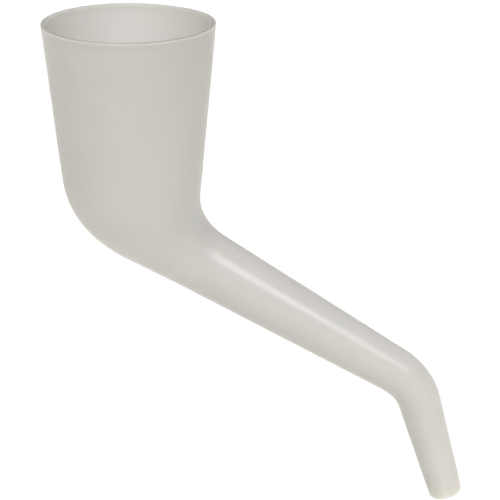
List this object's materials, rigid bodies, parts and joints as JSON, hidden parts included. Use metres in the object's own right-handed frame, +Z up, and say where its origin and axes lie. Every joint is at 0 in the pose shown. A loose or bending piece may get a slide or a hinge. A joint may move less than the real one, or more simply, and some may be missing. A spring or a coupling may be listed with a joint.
{
  "type": "offset funnel",
  "caption": "Deep conical cup running through a wide elbow into a long sloping tapered arm and a bent outlet, moulded hollow in translucent plastic for filling vessels that are out of reach.",
  "frame": {"origin": "centre of the mouth, in the plane of the trimmed rim", "axes": "+Z up out of the mouth along the cup's axis, +X from the cup towards the outlet, y = 0 the plane of symmetry"},
  "size_m": [0.2319, 0.09, 0.2794],
  "materials": {
    "natural_polyethylene": "satin, milky and slightly translucent"
  },
  "bodies": {
    "root": {"funnel_body": "natural_polyethylene"}
  },
  "joints": []
}
